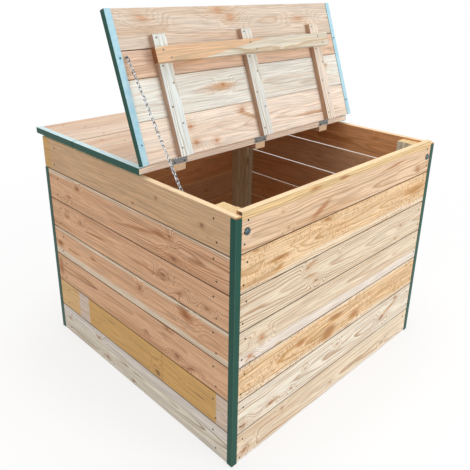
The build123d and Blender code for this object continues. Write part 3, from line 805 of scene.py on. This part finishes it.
def coated_steel(name, leg_side=None, blue=()):
    """Coil coated steel: a smooth, slightly cloudy green with a soft shine, a painted highlight along the
    bends, and pale blue on the faces that look to the leg side or away from it."""
    material, tree = new_material(name)
    coordinates = add(tree, "TexCoord").node.outputs
    place, normal = coordinates["Object"], coordinates["Normal"]
    cloud = add(tree, "TexNoise", {"Vector": place, "Scale": 1 / (COAT_CLOUD * MM), "Detail": 4.0})
    streak = add(tree, "TexNoise", {"Vector": place, "Scale": 1 / (STREAK_SIZE * MM), "Detail": OCTAVES})
    colour = add(tree, "Mix", {0: cloud, 6: linear(COAT_DARK), 7: linear(COAT_LIGHT)}, 2, data_type="RGBA")
    x, y = add(tree, "SeparateXYZ", (normal,)).node.outputs[:2]
    # The bends, where the face turns between x and y, get the painted highlight in streaks.
    bend = add(tree, "Math", (x, y), operation="MULTIPLY")
    bend = add(tree, "Math", (bend,), operation="ABSOLUTE")
    bend = add(tree, "MapRange", (bend, *BEND_HIGHLIGHT_RAMP))
    bend = add(tree, "Math", (bend, streak), operation="MULTIPLY")
    colour = add(tree, "Mix", {0: bend, 6: colour, 7: linear(BEND_HIGHLIGHT)}, 2, data_type="RGBA")
    rough = add(tree, "MapRange", (cloud, *COAT_ROUGHNESS))
    if leg_side:
        # The flat legs that face along the leg side, or away from it, are coloured pale blue.
        pale = add(tree, "Mix", {0: streak, 6: linear(blue[0]), 7: linear(blue[1])}, 2, data_type="RGBA")
        facing = add(tree, "VectorMath", (normal, leg_side), "Value", operation="DOT_PRODUCT")
        facing = add(tree, "Math", (facing,), operation="ABSOLUTE")
        facing = add(tree, "MapRange", (facing, *LEG_FACING))
        colour = add(tree, "Mix", {0: facing, 6: colour, 7: pale}, 2, data_type="RGBA")
    shader = add(tree, "BsdfPrincipled", {
        "Base Color": colour,
        "Roughness": rough,
        "Specular IOR Level": COAT_SPECULAR,
    })
    add(tree, "OutputMaterial", {"Surface": shader})
    return material


# The lid's legs that face along this direction are drawn pale blue.
lid_inside = -Vector((0, math.sin(open_turn), math.cos(open_turn)))
dress("front_corner_angles", coated_steel("green_coated_steel"))
dress("back_corner_angles", coated_steel("green_coated_steel_back"))
dress("roof_channels", coated_steel("green_coated_steel_roof", (0, 0, 1), ROOF_LEG_BLUE))
dress("lid_channels", coated_steel("green_coated_steel_lid", lid_inside, LID_LEG_BLUE))
print("film on the lid's legs faces", [round(part, 2) for part in lid_inside])

# %% [markdown]
# Hinges, bolts, screws and chain are zinc plated: grey metal with a fine spangle, bright on the chain and
# dull on the bolts. The spangle is finer than a pixel and is drawn at 5 mm. The walls' nails are bare
# steel that has gone dark, and next to pale wood they read as small dark dots. Those of roof and lid are
# greyer.

# %% Zinc and nail steel
SPANGLE = 5.0
MOTTLE = (0.4, 0.6, 0, 1)
CLOUD_LEVELS = (0.3, 0.7)


def plated_steel(name, light, dark, rough_range, metal):
    """Plated or bare steel with a fine mottle in its colour and its shine."""
    material, tree = new_material(name)
    place = add(tree, "TexCoord", out="Object")
    cloud = add(tree, "TexNoise", {"Vector": place, "Scale": 1 / (SPANGLE * MM), "Detail": OCTAVES})
    mottle = add(tree, "MapRange", (cloud, *MOTTLE))
    colour = add(tree, "Mix", {0: mottle, 6: linear(light), 7: linear(dark)}, 2, data_type="RGBA")
    rough = add(tree, "MapRange", (cloud, *CLOUD_LEVELS, *rough_range))
    shader = add(tree, "BsdfPrincipled", {"Base Color": colour, "Roughness": rough, "Metallic": metal})
    add(tree, "OutputMaterial", {"Surface": shader})
    return material


bolt_zinc = plated_steel("dull_zinc_bolts", "#66757A", "#3E4A4E", (0.2, 0.35), 1.0)
zinc = plated_steel("zinc_plated_steel", "#EDF2F5", "#454F55", (0.1, 0.25), 1.0)
galvanised = plated_steel("galvanised_steel", "#B2BFC6", "#8B979D", (0.35, 0.55), 1.0)
nail_steel = plated_steel("dark_nail_steel", "#2E241D", "#17110D", (0.6, 0.8), 0.0)
bright_nails = plated_steel("bright_nail_steel", "#8E877B", "#6B6458", (0.5, 0.7), 0.0)
FITTINGS = {
    bolt_zinc: ("corner_bolts", "frame_screws", "lid_screws"),
    zinc: ("chain_upper", "chain_middle", "chain_lower"),
    galvanised: ("hinge_roof_leaves", "hinge_lid_leaves", "hinge_pins"),
    nail_steel: ("wall_nails",),
    bright_nails: ("roof_nails", "lid_nails"),
}
for material, fitted in FITTINGS.items():
    for node in fitted:
        dress(node, material)
print("fittings dressed:", sum(len(fitted) for fitted in FITTINGS.values()))

# %% [markdown]
# Nothing here changes the size of the bin. The nodes that are still without a finish are listed.

undressed = [node for node in nodes if not nodes[node].data.materials]
print("nodes without a finish:", undressed)
